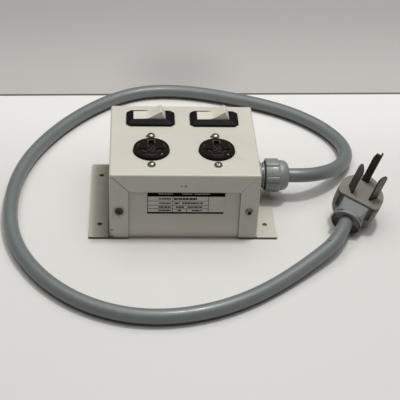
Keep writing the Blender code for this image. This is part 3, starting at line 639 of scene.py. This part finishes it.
# ---- chassis ---------------------------------------------------------------------------------
corner = [(HW + FLANGE - 1.6 + 1.6 * math.sin(math.radians(a)), HD - 1.6 + 1.6 * math.cos(math.radians(a))) for a in (0, 18, 36, 54, 72, 90)]
quarter = [(HW + GAP, wall_y), (HW + GAP, HD)] + corner
plate = [(x, -y) for x, y in quarter] + quarter[::-1]
plate += [(-x, y) for x, y in plate[::-1]]
base = raw("chassis_sheet", bm_prism(plate, (0, 0, 0), X, Y, Z, SHEET))
walls = []
for s in (-1, 1):
    y0, y1 = sorted((s * wall_y, s * (wall_y - SHEET)))
    walls.append(bm_box(-70.8, 70.8, y0, y1, 0.0, 72.3))
boolean(base, "UNION", walls)
tools = []
for sx in (-1, 1):
    for sy in (-1, 1):
        tools.append(bm_turn(rod(2.25, -1, 3), (sx * 82.5, sy * 42.0, 0), Z, 32))
        tools.append(bm_turn(rod(1.9, -3, 3), (sx * SCREW_X, sy * (wall_y - 0.6), SCREW_Z), Y, 24))
for t in tools:
    boolean(base, "DIFFERENCE", [t])
dress(base, CHASSIS, ["base_chassis"], bevel=0.22, seg=2, limit=40, sharp=60)

# ---- label: foil with plain printed bars and a blank grid ---------------------------------------
foil = raw("label_foil_plate", bm_prism(round_rect(37.3, 12.4, 0.9, 5), (1.6, -wall_y - 0.05, 41.7), X, Z, (0, -1, 0), 0.55))
dress(foil, FOIL, ["nameplate"], bevel=0.1, seg=2)
LY = -wall_y - 0.60
ink, light = bmesh.new(), bmesh.new()


def bar(bm, x0, x1, z0, z1, lift=0.0):
    one = bm_box(x0, x1, LY - 0.05 - lift, LY + 0.04, z0, z1)
    me = bpy.data.meshes.new("bar")
    one.to_mesh(me)
    one.free()
    bm.from_mesh(me)
    bpy.data.meshes.remove(me)


bar(ink, -35.9, 38.8, 49.9, 54.2)
bar(ink, -35.9, 38.2, 29.5, 31.4)
for z in (44.6, 39.5, 35.4):
    bar(ink, -35.5, 23.3, z - 0.24, z + 0.24)
for x in (-35.5, -11.3, 23.2):
    bar(ink, x - 0.24, x + 0.24, 31.3, 49.9)
bar(ink, 1.75, 2.2, 31.3, 35.4)
rng = random.Random(7)


def dashes(bm, x0, x1, z, h, lift=0.0):
    """A row of plain blocks, in place of print."""
    x = x0
    while x < x1 - 0.5:
        w = min(rng.choice((1.0, 1.5, 2.0, 2.6)), x1 - x)
        bar(bm, x, x + w, z - h / 2, z + h / 2, lift)
        x += w + rng.choice((0.25, 0.3, 0.45))


dashes(light, -25.5, -11.5, 53.0, 0.7, 0.03)
dashes(light, -2.6, 8.0, 53.0, 0.7, 0.03)
dashes(light, 9.4, 25.2, 53.0, 0.7, 0.03)
for x0, x1, z, h in (
    (-25.0, -13.0, 47.2, 1.7), (-10.3, 11.8, 47.2, 2.2), (-25.0, -13.0, 42.0, 1.6), (-10.0, -4.4, 42.0, 1.7), (-2.3, 17.8, 42.1, 1.7),
    (-25.0, -13.0, 37.4, 1.7), (-8.3, -0.4, 37.4, 1.7), (3.2, 17.2, 37.4, 1.7), (-25.0, -13.0, 33.3, 1.6), (-6.9, -2.3, 33.3, 1.6), (7.2, 17.8, 33.3, 1.6),
):
    dashes(ink, x0, x1, z, h)
dress(raw("label_print_dark", ink), INK, weighted=False, sharp=30)
dress(raw("label_print_light", light), FOIL, weighted=False, sharp=30)


# ---- screws -------------------------------------------------------------------------------------------
def head_profile(r, h, shank_r, shank):
    dome = [(r * math.sin(t), h * 0.12 + h * 0.88 * math.cos(t)) for t in (math.radians(a) for a in (0, 12, 24, 36, 48, 60, 70, 80, 90))]
    return [(0 if i == 0 else q, z) for i, (q, z) in enumerate(dome)] + [(r, 0), (shank_r, 0), (shank_r, -shank), (0, -shank)]


def screw(name, at, ax, r, h, shank, turn, kind, material, node):
    ex, ey, ez = frame_of(ax)
    ob = raw(name, bm_turn(head_profile(r, h, r * 0.42, shank), at, ax, 40))
    c, s = math.cos(turn), math.sin(turn)
    e1, e2 = ex * c + ey * s, ey * c - ex * s
    at = Vector(at)
    if kind == "slot":
        cuts = [bm_prism([(-r * 1.1, -0.42), (r * 1.1, -0.42), (r * 1.1, 0.42), (-r * 1.1, 0.42)], at + ez * (h - 1.0), e1, e2, ez, 2.0)]
    else:
        a, b = r * 0.52, r * 0.15
        cuts = []
        for p, q in ((e1, e2), (e2, e1)):
            cuts.append(bm_hull([at + ez * (h + 0.4) + p * (sa * a) + q * (sb * b) for sa in (-1, 1) for sb in (-1, 1)]
                                + [at + ez * (h - 1.7) + p * (sa * a * 0.35) + q * (sb * b * 0.6) for sa in (-1, 1) for sb in (-1, 1)]))
    for t in cuts:
        boolean(ob, "DIFFERENCE", [t])
    return dress(ob, material, [node], bevel=0.07, seg=2, limit=50, sharp=55)


for sx, side in ((-1, "left"), (1, "right")):
    for sy, face in ((-1, "front"), (1, "back")):
        screw("screw_cover_%s_%s" % (face, side), (sx * SCREW_X, sy * (HD + 0.05), SCREW_Z), (0, sy, 0), 3.9, 2.5, 6.0,
              0.5 + sx * 0.6 + sy * 0.3, "cross", RUSTY if (sx, sy) in ((-1, -1), (1, 1)) else NICKEL, "cover_screw_%s_%s" % (face, side))

# ---- outlets ------------------------------------------------------------------------------------------------
SLOT_X, SLOT_Y, GROUND_Y = 8.7, -2.2, 9.4
for sx, side in ((-1, "left"), (1, "right")):
    cx, cy = sx * OUTLET_X, OUTLET_Y
    top = OUTLET_TOP
    prof = [(0, 71.2), (OUTLET_R, 71.2), (OUTLET_R, top - 0.9), (OUTLET_R - 0.2, top - 0.45), (OUTLET_R - 0.6, top - 0.12), (OUTLET_R - 1.2, top), (OUTLET_R - 1.8, top - 0.02), (OUTLET_R - 2.3, top - 0.22), (0, top - 0.25)]
    face = raw("outlet_%s_disc" % side, bm_turn(prof, (cx, cy, 0), Z, 96))
    gy = cy + GROUND_Y
    tools = [bm_box(cx + dx - 3.5, cx + dx + 3.5, cy + SLOT_Y - 1.0, cy + SLOT_Y + 1.0, 70, 82) for dx in (-SLOT_X, SLOT_X)]
    tools.append(bm_prism([(-2.5, -2.0), (2.5, -2.0), (2.5, 0.8), (1.3, 2.3), (-1.3, 2.3), (-2.5, 0.8)], (cx, gy, 70), X, Y, Z, 12))
    for t in tools:
        boolean(face, "DIFFERENCE", [t])
    dress(face, BROWN, ["outlet_%s_face" % side], bevel=0.14, seg=2, limit=40, sharp=60)
    # worn raised frame round the ground opening, and plain bars and arcs
    worn = bmesh.new()

    def lay(bm):
        me = bpy.data.meshes.new("relief")
        bmesh.ops.recalc_face_normals(bm, faces=bm.faces)
        bm.to_mesh(me)
        bm.free()
        worn.from_mesh(me)
        bpy.data.meshes.remove(me)

    z0 = top - 0.32
    lay(bm_prism([(-3.8, -2.4), (-2.9, -2.4), (-2.9, 2.9), (2.9, 2.9), (2.9, -2.4), (3.8, -2.4), (3.8, 3.8), (-3.8, 3.8)], (cx, gy, z0), X, Y, Z, 0.75))
    for a0, a1, r0, r1 in ((205, 240, 9.2, 9.75), (300, 335, 9.2, 9.75), (244, 296, 12.6, 13.2), (150, 176, 13.0, 13.45), (4, 30, 13.0, 13.45)):
        n = 12
        arc = [(r0 * math.cos(math.radians(a0 + (a1 - a0) * i / n)), r0 * math.sin(math.radians(a0 + (a1 - a0) * i / n))) for i in range(n + 1)]
        arc += [(r1 * math.cos(math.radians(a1 - (a1 - a0) * i / n)), r1 * math.sin(math.radians(a1 - (a1 - a0) * i / n))) for i in range(n + 1)]
        lay(bm_prism(arc, (cx, cy, z0), X, Y, Z, 0.27))
    for bx, by, bw, bh, tilt in ((-2.2, 1.2, 2.4, 0.6, 24), (2.4, 1.4, 2.8, 0.6, -18), (0.1, -1.6, 0.6, 3.0, 8), (2.9, -2.6, 0.6, 2.4, -10), (-1.9, -4.2, 2.6, 0.6, 0), (1.6, -6.4, 3.2, 0.6, 8), (-3.4, 4.0, 0.6, 2.2, 30)):
        c, s = math.cos(math.radians(tilt)), math.sin(math.radians(tilt))
        lay(bm_prism([(p * c - q * s, p * s + q * c) for p, q in ((-bw / 2, -bh / 2), (bw / 2, -bh / 2), (bw / 2, bh / 2), (-bw / 2, bh / 2))], (cx + bx, cy + by, z0), X, Y, Z, 0.25))
    dress(raw("outlet_%s_relief" % side, worn), RELIEF, bevel=0.05, seg=1, weighted=False, sharp=30)
    rivet = raw("outlet_%s_rivet" % side, bm_turn([(0, top - 0.30), (1.0, top - 0.30), (1.0, top + 0.0), (0.75, top + 0.28), (0.4, top + 0.4), (0, top + 0.44)], (cx + 10.1, cy - 11.4, 0), Z, 20))
    dress(rivet, NICKEL, [], bevel=0.05, sharp=60)
    for s, word in ((-1, "front"), (1, "back")):
        screw("outlet_%s_head_%s" % (side, word), (cx, cy + s * OUTLET_SCREW, BOX_H + 0.05), Z, 4.1, 3.2, 9.0, 0.4 + s * 0.7 + sx * 0.35, "slot", NICKEL, "outlet_%s_screw_%s" % (side, word))

# ---- rocker breakers --------------------------------------------------------------------------------------------
k17 = math.tan(math.radians(17))
dip = [(x, 8.43 - k17 * (math.sqrt(14.57**2 + 9.0) - math.sqrt(x * x + 9.0))) for x in np.linspace(13.9, -13.9, 27)]
own = [(15.35, 4.4), (15.05, 6.7), (14.75, 7.9), (14.35, 8.28)] + dip + [(-14.35, 8.28), (-14.75, 7.9), (-15.05, 6.7), (-15.35, 4.4), (-16.47, -0.85), (-16.0, -3.2), (-7.0, -4.6), (-2.4, -12.5), (2.4, -12.5), (7.0, -4.6), (16.0, -3.2), (16.47, -0.85)]
ca, sa = math.cos(math.radians(17)), math.sin(math.radians(17))
tilted = [(x * ca - z * sa, x * sa + z * ca) for x, z in own]
for sx, side in ((-1, "left"), (1, "right")):
    bx, by = sx * BREAKER_X, BREAKER_Y
    wx = bx + WINDOW_DX
    stack = [
        (24.5, 13.2, 3.9, 0, 75.55), (24.5, 13.2, 3.9, 0, 77.75), (24.42, 13.12, 3.85, -0.02, 78.0), (24.15, 12.95, 3.8, -0.05, 78.25),
        (18.25, 8.8, 1.2, -0.97, 81.05), (17.9, 8.5, 1.1, -1, 81.2), (17.4, 8.0, 0.9, -1, 81.15), (17.1, 7.7, 0.8, -1, 80.8), (17.0, 7.6, 0.7, -1, 80.3), (17.0, 7.6, 0.7, -1, 75.55),
    ]
    rings = [[(bx + dx + x, by + y, z) for x, y in round_rect(hx, hy, r, 1)] for hx, hy, r, dx, z in stack]
    bezel = raw("breaker_%s_frame" % side, bm_loft(rings, wrap=True))
    dress(bezel, BLACK, ["breaker_%s_bezel" % side], sharp=34)
    rocker = raw("breaker_%s_paddle" % side, bm_prism(tilted, (wx, by - 7.2, PIVOT_Z), X, Z, Y, 14.4))
    boolean(rocker, "DIFFERENCE", [bm_turn(rod(1.45, -9, 9), (wx, by, PIVOT_Z), Y, 24)])
    dress(rocker, IVORY, ["breaker_%s_rocker" % side], body="rocker_" + side, bevel=0.45, seg=3, limit=40, sharp=55)

# ---- cable gland -------------------------------------------------------------------------------------------------------
G = (0, GY, GZ)
washer = raw("gland_washer_ring", bm_turn([(10.4, 72.6), (14.4, 72.6), (14.7, 73.0), (14.7, 73.8), (14.4, 74.2), (10.4, 74.2)], G, X, 64))
dress(washer, RUBBER, ["gland_washer"], sharp=60)
body_prof = [(8.0, 62.0), (9.9, 62.0), (9.9, 74.3), (13.9, 74.3), (14.2, 74.7), (14.2, 79.6), (13.8, 80.1), (12.2, 80.3), (12.0, 81.0), (12.0, 81.9), (13.2, 82.2), (13.5, 82.5), (13.5, 83.6), (13.2, 84.0), (11.9, 84.2), (11.9, 93.0), (8.0, 93.0)]


def hexed(t, r, h):
    if 74.5 < h < 80.0 and r > 13:
        return min(r * 1.06, 13.7 / max(0.87, math.cos((t + 0.18) % (math.pi / 3) - math.pi / 6)))
    return r


gbody = raw("gland_stem", bm_turn(body_prof, G, X, 96, wobble=hexed))
dress(gbody, GREY, ["gland_body"], sharp=40)
oring = raw("gland_o_ring", bm_turn([(12.15, 84.3), (14.6, 84.3), (15.1, 84.5), (15.1, 84.9), (14.6, 85.1), (12.15, 85.1)], G, X, 64))
dress(oring, RUBBER, [], sharp=50)
nut_prof = [
    (12.3, 85.2), (16.0, 85.2), (16.5, 85.4), (16.7, 85.9), (16.7, 97.4), (16.6, 98.2), (16.3, 98.8), (15.9, 99.1), (15.72, 99.6), (15.62, 101.2), (15.45, 102.8), (15.15, 104.2),
    (14.5, 105.7), (13.6, 106.95), (12.4, 107.95), (11.0, 108.75), (9.8, 109.2), (8.9, 109.4), (8.2, 109.4), (7.9, 109.1), (7.9, 107.6), (12.3, 101.0),
]
RIB0 = math.radians(17.5)
ex, ey, ez = frame_of(X)


def ribbed(t, r, h):
    """Six raised grips round the wide end of the nut."""
    if r < 15.5 or h > 98.9:
        return r
    d = ex * math.cos(t) + ey * math.sin(t)
    a = math.atan2(d.z, -d.y)
    off = abs((a - RIB0 + math.pi / 6) % (math.pi / 3) - math.pi / 6)
    lift = 1.0 - min(1.0, max(0.0, (off - math.radians(7.6)) / math.radians(1.6)))
    groove = max(0.0, 1.0 - abs(off - math.radians(10.6)) / math.radians(1.9))
    return r + 0.70 * lift - 0.55 * groove


nut = raw("gland_nut_ribbed", bm_turn(nut_prof, G, X, 240, wobble=ribbed))
dress(nut, GREY, ["gland_dome_nut"], sharp=38, weighted=False)
seal = raw("gland_seal_ring", bm_turn([(7.45, 93.4), (11.6, 93.4), (11.8, 100.4), (8.4, 106.6), (8.1, 108.6), (7.8, 108.8), (7.45, 108.4)], G, X, 48))
dress(seal, RUBBER, ["gland_seal"], sharp=50)

# ---- angled plug ------------------------------------------------------------------------------------------------------------
PLUG_O = Vector((178.5, -34.1, 37.0))
PU = Vector((0.8696, -0.4135, -0.2698)).normalized()
PN = Vector((0.2450, -0.1130, 0.9629)).normalized()
PN = (PN - PU * PN.dot(PU)).normalized()
PV = PN.cross(PU).normalized()


def plug_at(u, v, n):
    return PLUG_O + PU * u + PV * v + PN * n


def smooth_half(stations, per=5):
    """A smooth run through the stations."""
    p = [Vector((a, b)) for a, b in stations]
    p = [Vector((-p[1].x, p[1].y))] + p + [p[-1] * 2 - p[-2]]
    out = []
    for i in range(1, len(p) - 2):
        for j in range(per):
            t = j / per
            a, b, c, d = p[i - 1], p[i], p[i + 1], p[i + 2]
            out.append(0.5 * ((2 * b) + (c - a) * t + (2 * a - 5 * b + 4 * c - d) * t * t + (3 * b - a - 3 * c + d) * t**3))
    return out + [p[-2]]


half = smooth_half([(0, 29.6), (4.5, 28.8), (9.0, 26.2), (14.0, 21.2), (18.4, 15.0), (20.8, 10.6), (22.7, 4.0), (23.1, -3.0), (22.7, -10.0), (21.0, -14.6)])
half = [(q.x, q.y) for q in half] + [(20.1, -15.8), (18.4, -16.4)]
OUTLINE = half + [(-u, v) for u, v in reversed(half[1:])]


def plug_ring(scale, n, dv=0.0):
    return [plug_at(u * scale, (v - 6) * scale + 6 + dv, n) for u, v in OUTLINE]


axis = Vector((0.41, 0.91, 0.03)).normalized()
rim = Vector((160.6, -58.0, 15.9))
up = (PN - axis * PN.dot(axis)).normalized()
across = up.cross(axis).normalized()


def oval(a, b, along, seg=64, p=2.0):
    out = []
    for t in (2 * math.pi * i / seg for i in range(seg)):
        c, s = math.cos(t), math.sin(t)
        out.append(rim + axis * along + across * (a * math.copysign(abs(c) ** (2 / p), c)) + up * (b * math.copysign(abs(s) ** (2 / p), s)))
    return out


BLADE_T, BLADE_W = 1.9, 12.0
BW = BLADE_W / 2
blades = []
for s, angle, cu_, cv_ in ((-1, 61, -11.1, -5.0), (1, 62, 12.3, -2.2)):
    d = PU * math.cos(math.radians(angle)) * s + PV * math.sin(math.radians(angle))
    blades.append((d, PN.cross(d).normalized(), plug_at(cu_, cv_, 0)))
wide = [(-6.7, 16.9), (1.5, 16.9), (1.5, 23.9), (-1.0, 23.9), (-1.0, 19.4), (-6.7, 19.4)]

face = raw("plug_face_plate", bm_loft([plug_ring(0.985, -2.3), plug_ring(0.995, -1.9), plug_ring(0.995, -0.7), plug_ring(0.985, -0.25), plug_ring(0.965, 0.0)]))
tools = []
for d, t, c in blades:
    tools.append(bm_prism([(-BLADE_W / 2 - 0.3, -12), (BLADE_W / 2 + 0.3, -12), (BLADE_W / 2 + 0.3, 4), (-BLADE_W / 2 - 0.3, 4)], c - t * (BLADE_T / 2 + 0.3), d, PN, t, BLADE_T + 0.6))
tools.append(bm_prism(wide, plug_at(0, 0, -12), PU, PV, PN, 16))
for t in tools:
    boolean(face, "DIFFERENCE", [t])
dress(face, PLUG_FACE, ["plug_face"], bevel=0.15, seg=2, limit=50, sharp=45)

head = raw("plug_shell", bm_loft([plug_ring(0.985, -2.7), plug_ring(1.0, -3.2), plug_ring(1.01, -8), plug_ring(1.0, -13), plug_ring(0.985, -18), plug_ring(0.94, -23.5), plug_ring(0.84, -29), plug_ring(0.70, -33.0), plug_ring(0.62, -33.9)]))
boolean(head, "UNION", [bm_loft([oval(15.0, 12.2, 0.0), oval(15.5, 12.7, 0.4), oval(15.6, 12.8, 1.6), oval(14.9, 12.1, 2.3), oval(14.8, 12.0, 3.4), oval(15.3, 12.6, 4.4), oval(15.4, 12.7, 14.0), oval(13.0, 11.0, 30.0)])])
block = bm_hull(
    [plug_at(u, v, n) for u, v, n in ((-13.4, -16.5, -3.2), (13.4, -16.5, -3.2), (-13.4, -8, -3.2), (13.4, -8, -3.2), (-13.4, -6, -26), (13.4, -6, -26))]
    + [rim + across * a + up * b + axis * c for a, b, c in ((-13.2, 8.6, 3.2), (13.2, 8.6, 3.2), (-14.2, 0, 3.2), (14.2, 0, 3.2), (-9.5, 11.6, 3.2), (9.5, 11.6, 3.2), (-12, -6, 8), (12, -6, 8))]
)
boolean(head, "UNION", [block])
boolean(head, "DIFFERENCE", [bm_loft([oval(14.9, 12.1, -0.6), oval(14.5, 11.7, 0.6), oval(14.0, 11.2, 1.8), oval(13.4, 10.7, 2.9)])])
boolean(head, "DIFFERENCE", [bm_turn(rod(CORD_R + 0.25, 5.0, 25.0), rim, axis, 48)])
for s in (-1, 1):
    boolean(head, "DIFFERENCE", [bm_prism([(-2.4, -4.5), (2.4, -4.5), (1.5, 3.2), (-1.5, 3.2)], plug_at(s * 16.3, -16.2, -3.0), PU, PV, -PN, 15.0)])
for d, t, c in blades:
    boolean(head, "DIFFERENCE", [bm_prism([(-BLADE_W / 2 - 0.3, -10.4), (BLADE_W / 2 + 0.3, -10.4), (BLADE_W / 2 + 0.3, 4), (-BLADE_W / 2 - 0.3, 4)], c - t * (BLADE_T / 2 + 0.3), d, PN, t, BLADE_T + 0.6)])
boolean(head, "DIFFERENCE", [bm_prism(wide, plug_at(0, 0, -10.4), PU, PV, PN, 14)])
md = head.modifiers.new("soften", "REMESH")
md.mode, md.voxel_size = "VOXEL", 0.00045
md2 = head.modifiers.new("smooth", "SMOOTH")
md2.factor, md2.iterations = 0.5, 4
bake(head)
head.data.materials.clear()
head.data.materials.append(PLUG)
head.data.materials.append(PLUG_BLOCK)
head.data.materials.append(PLUG_SHADED)
# Block faces take the blue-grey; faces by the seam under the face plate and on the lower side of the collar take the
# painted-shade copy.
for p in head.data.polygons:
    q = p.center / MM - PLUG_O
    u, v, n = q.dot(PU), q.dot(PV), q.dot(PN)
    w = p.center / MM - rim
    if abs(u) < 13.3 + 0.06 * max(0, -n) and v < -14.6 and w.dot(axis) > 2.6 and w.dot(up) > 2.0:
        p.material_index = 1
    elif n > -3.45 or w.dot(axis) < 9 and w.dot(up) < 2.5 - 0.35 * abs(w.dot(across)) and w.dot(across) < 12:
        p.material_index = 2
dress(head, None, ["plug_body"], sharp=180, weighted=False)

TIPS = {
    "left": [(BW, 26.0), (5.4, 27.6), (4.0, 31.0), (3.0, 31.8), (-0.8, 31.8), (-4.3, 30.5), (-5.6, 28.9), (-BW, 27.2)],
    "right": [(BW, 24.0), (5.5, 26.2), (4.3, 28.3), (2.8, 29.3), (-3.0, 29.4), (-4.6, 28.0), (-5.6, 26.2), (-BW, 24.8)],
}
for (d, t, c), name in zip(blades, ("left", "right")):
    blade = raw("plug_pin_" + name, bm_prism([(-BW, -10), (BW, -10)] + TIPS[name], c - t * (BLADE_T / 2), d, PN, t, BLADE_T))
    dress(blade, None, ["plug_blade_" + name], bevel=0.26, seg=3, limit=35, sharp=60)
    blade.data.materials.clear()
    blade.data.materials.append(BRONZE if name == "right" else BRASS_DARKER)
    blade.data.materials.append(BRASS_DARKER)
    # The thin edges of the blades take the darker brass as painted shade.
    for p in blade.data.polygons:
        if abs(p.normal.dot(t)) < 0.6:
            p.material_index = 1
ell = [(-6.4, 17.2), (1.2, 17.2), (1.2, 23.6), (-0.7, 23.6), (-0.7, 19.1), (-6.4, 19.1)]
neutral = raw("plug_pin_neutral", bm_prism(ell, plug_at(0, 0, -10), PU, PV, PN, 46.4))
boolean(neutral, "DIFFERENCE", [bm_prism([(-8, -1), (-2.2, -1), (-2.2, 0), (-4.1, 7.2), (-8, 7.2)], plug_at(-2.6, 10, 36.4), PU, -PN, PV, 16)])
dress(neutral, BRASS_DARKER, ["plug_blade_neutral"], bevel=0.28, seg=3, limit=50, sharp=60)

# ---- stage and light ------------------------------------------------------------------------------------------------------------
bm = bmesh.new()
S = 3.5
for x, y in ((-S, -S), (S, -S), (S, S), (-S, S)):
    bm.verts.new((x, y, -0.0005))
bm.faces.new(bm.verts)
me = bpy.data.meshes.new("table_top")
bm.to_mesh(me)
bm.free()
floor = bpy.data.objects.new("table_top", me)
bpy.context.scene.collection.objects.link(floor)
m = Mat("table_white", (0.655, 0.645, 0.622), 0.5)
m.tint(m.mul(m.fit(m.noise(6, 3), 0.4, 0.7), 0.5), (0.635, 0.624, 0.600))
m.tint(m.mul(m.fit(m.noise(900, 2), 0.55, 0.8), 0.06), (0.50, 0.49, 0.47))
n = m.new("ShaderNodeVectorMath", operation="DOT_PRODUCT")
m.put(n.inputs[0], m.pos)
n.inputs[1].default_value = (-0.0285, 1.0, 0.0)
# Painted light falloff: the table gets darker towards the front right.
slant = m.new("ShaderNodeVectorMath", operation="DOT_PRODUCT")
m.put(slant.inputs[0], m.pos)
slant.inputs[1].default_value = (0.45, -0.75, 0.0)
m.tint(m.fit(slant.outputs["Value"], -0.25, 0.32, smooth=False), (0.560, 0.550, 0.530))
beyond = m.fit(n.outputs["Value"], 0.2112, 0.2120, smooth=False)
line = m.mul(m.fit(n.outputs["Value"], 0.2094, 0.2100, smooth=False), m.fit(n.outputs["Value"], 0.2132, 0.2139, 1.0, 0.0, smooth=False))
# Painted light: the table gets lighter towards its back edge.
m.tint(m.mul(m.fit(n.outputs["Value"], 0.02, 0.20), 0.85), (0.745, 0.735, 0.712))
m.tint(beyond, (0.445, 0.428, 0.412))
# Painted shade: the backdrop strip gets darker further back.
m.tint(m.mul(m.fit(n.outputs["Value"], 0.23, 0.46), 0.85), (0.345, 0.328, 0.316))
# Painted shadow on the backdrop strip behind the cord.
m.tint(m.mul(m.near((5, 262, 0), 10, 95), 0.38), (0.25, 0.24, 0.23))
# Painted shadow: a dark line where the table meets the backdrop strip.
m.tint(line, (0.100, 0.092, 0.084))
# Painted shadow: a dark band on the floor along the foot of the box front, stronger under the flaps and flanges.
m.tint(m.mul(m.fit(m.axis(1), -0.0646, -0.0634), m.fit(m.axis(1), -0.0550, -0.0500, 1.0, 0.0), m.fit(m.math("ABSOLUTE", m.axis(0)), 0.0925, 0.0940, 1.0, 0.0), m.fit(m.math("ABSOLUTE", m.axis(0)), 0.052, 0.056, 0.6, 1.0), 0.92), (0.03, 0.027, 0.023))
# Painted shadow on the floor under the flange holes.
for sx in (-1, 1):
    for sy in (-1, 1):
        m.tint(m.mul(m.near((sx * 82.5 - 0.3, sy * 42 + 0.8, -0.5), 2.8, 3.6), 0.95 if sx < 0 else 0.7), (0.03, 0.025, 0.02))
m.rough(m.noise(120, 3), 0.42, 0.56)
m.bump(m.noise(700, 2), 0.1, 0.03)
floor.data.materials.append(m.m)


def area(name, at, aim, size, watts, colour=(1, 1, 1)):
    data = bpy.data.lights.new(name, "AREA")
    data.shape, data.size, data.energy, data.color = "DISK", size, watts, colour
    ob = bpy.data.objects.new(name, data)
    ob.location = at
    ob.rotation_mode = "QUATERNION"
    ob.rotation_quaternion = (Vector(aim) - Vector(at)).to_track_quat("-Z", "Y")
    bpy.context.scene.collection.objects.link(ob)
    return ob


area("light_key", (0.34, 0.08, 1.67), (0.0, 0.02, 0.0), 0.20, 13.0, (1.0, 0.985, 0.96))
area("light_soft", (0.06, 0.12, 2.2), (0.0, 0.0, 0.0), 3.4, 48.0, (1.0, 0.99, 0.975))
world = bpy.data.worlds.new("world")
world.use_nodes = True
world.node_tree.nodes["Background"].inputs["Color"].default_value = (0.93, 0.95, 1.0, 1.0)
world.node_tree.nodes["Background"].inputs["Strength"].default_value = 0.16
bpy.context.scene.world = world
bpy.context.scene.view_settings.view_transform = "Standard"
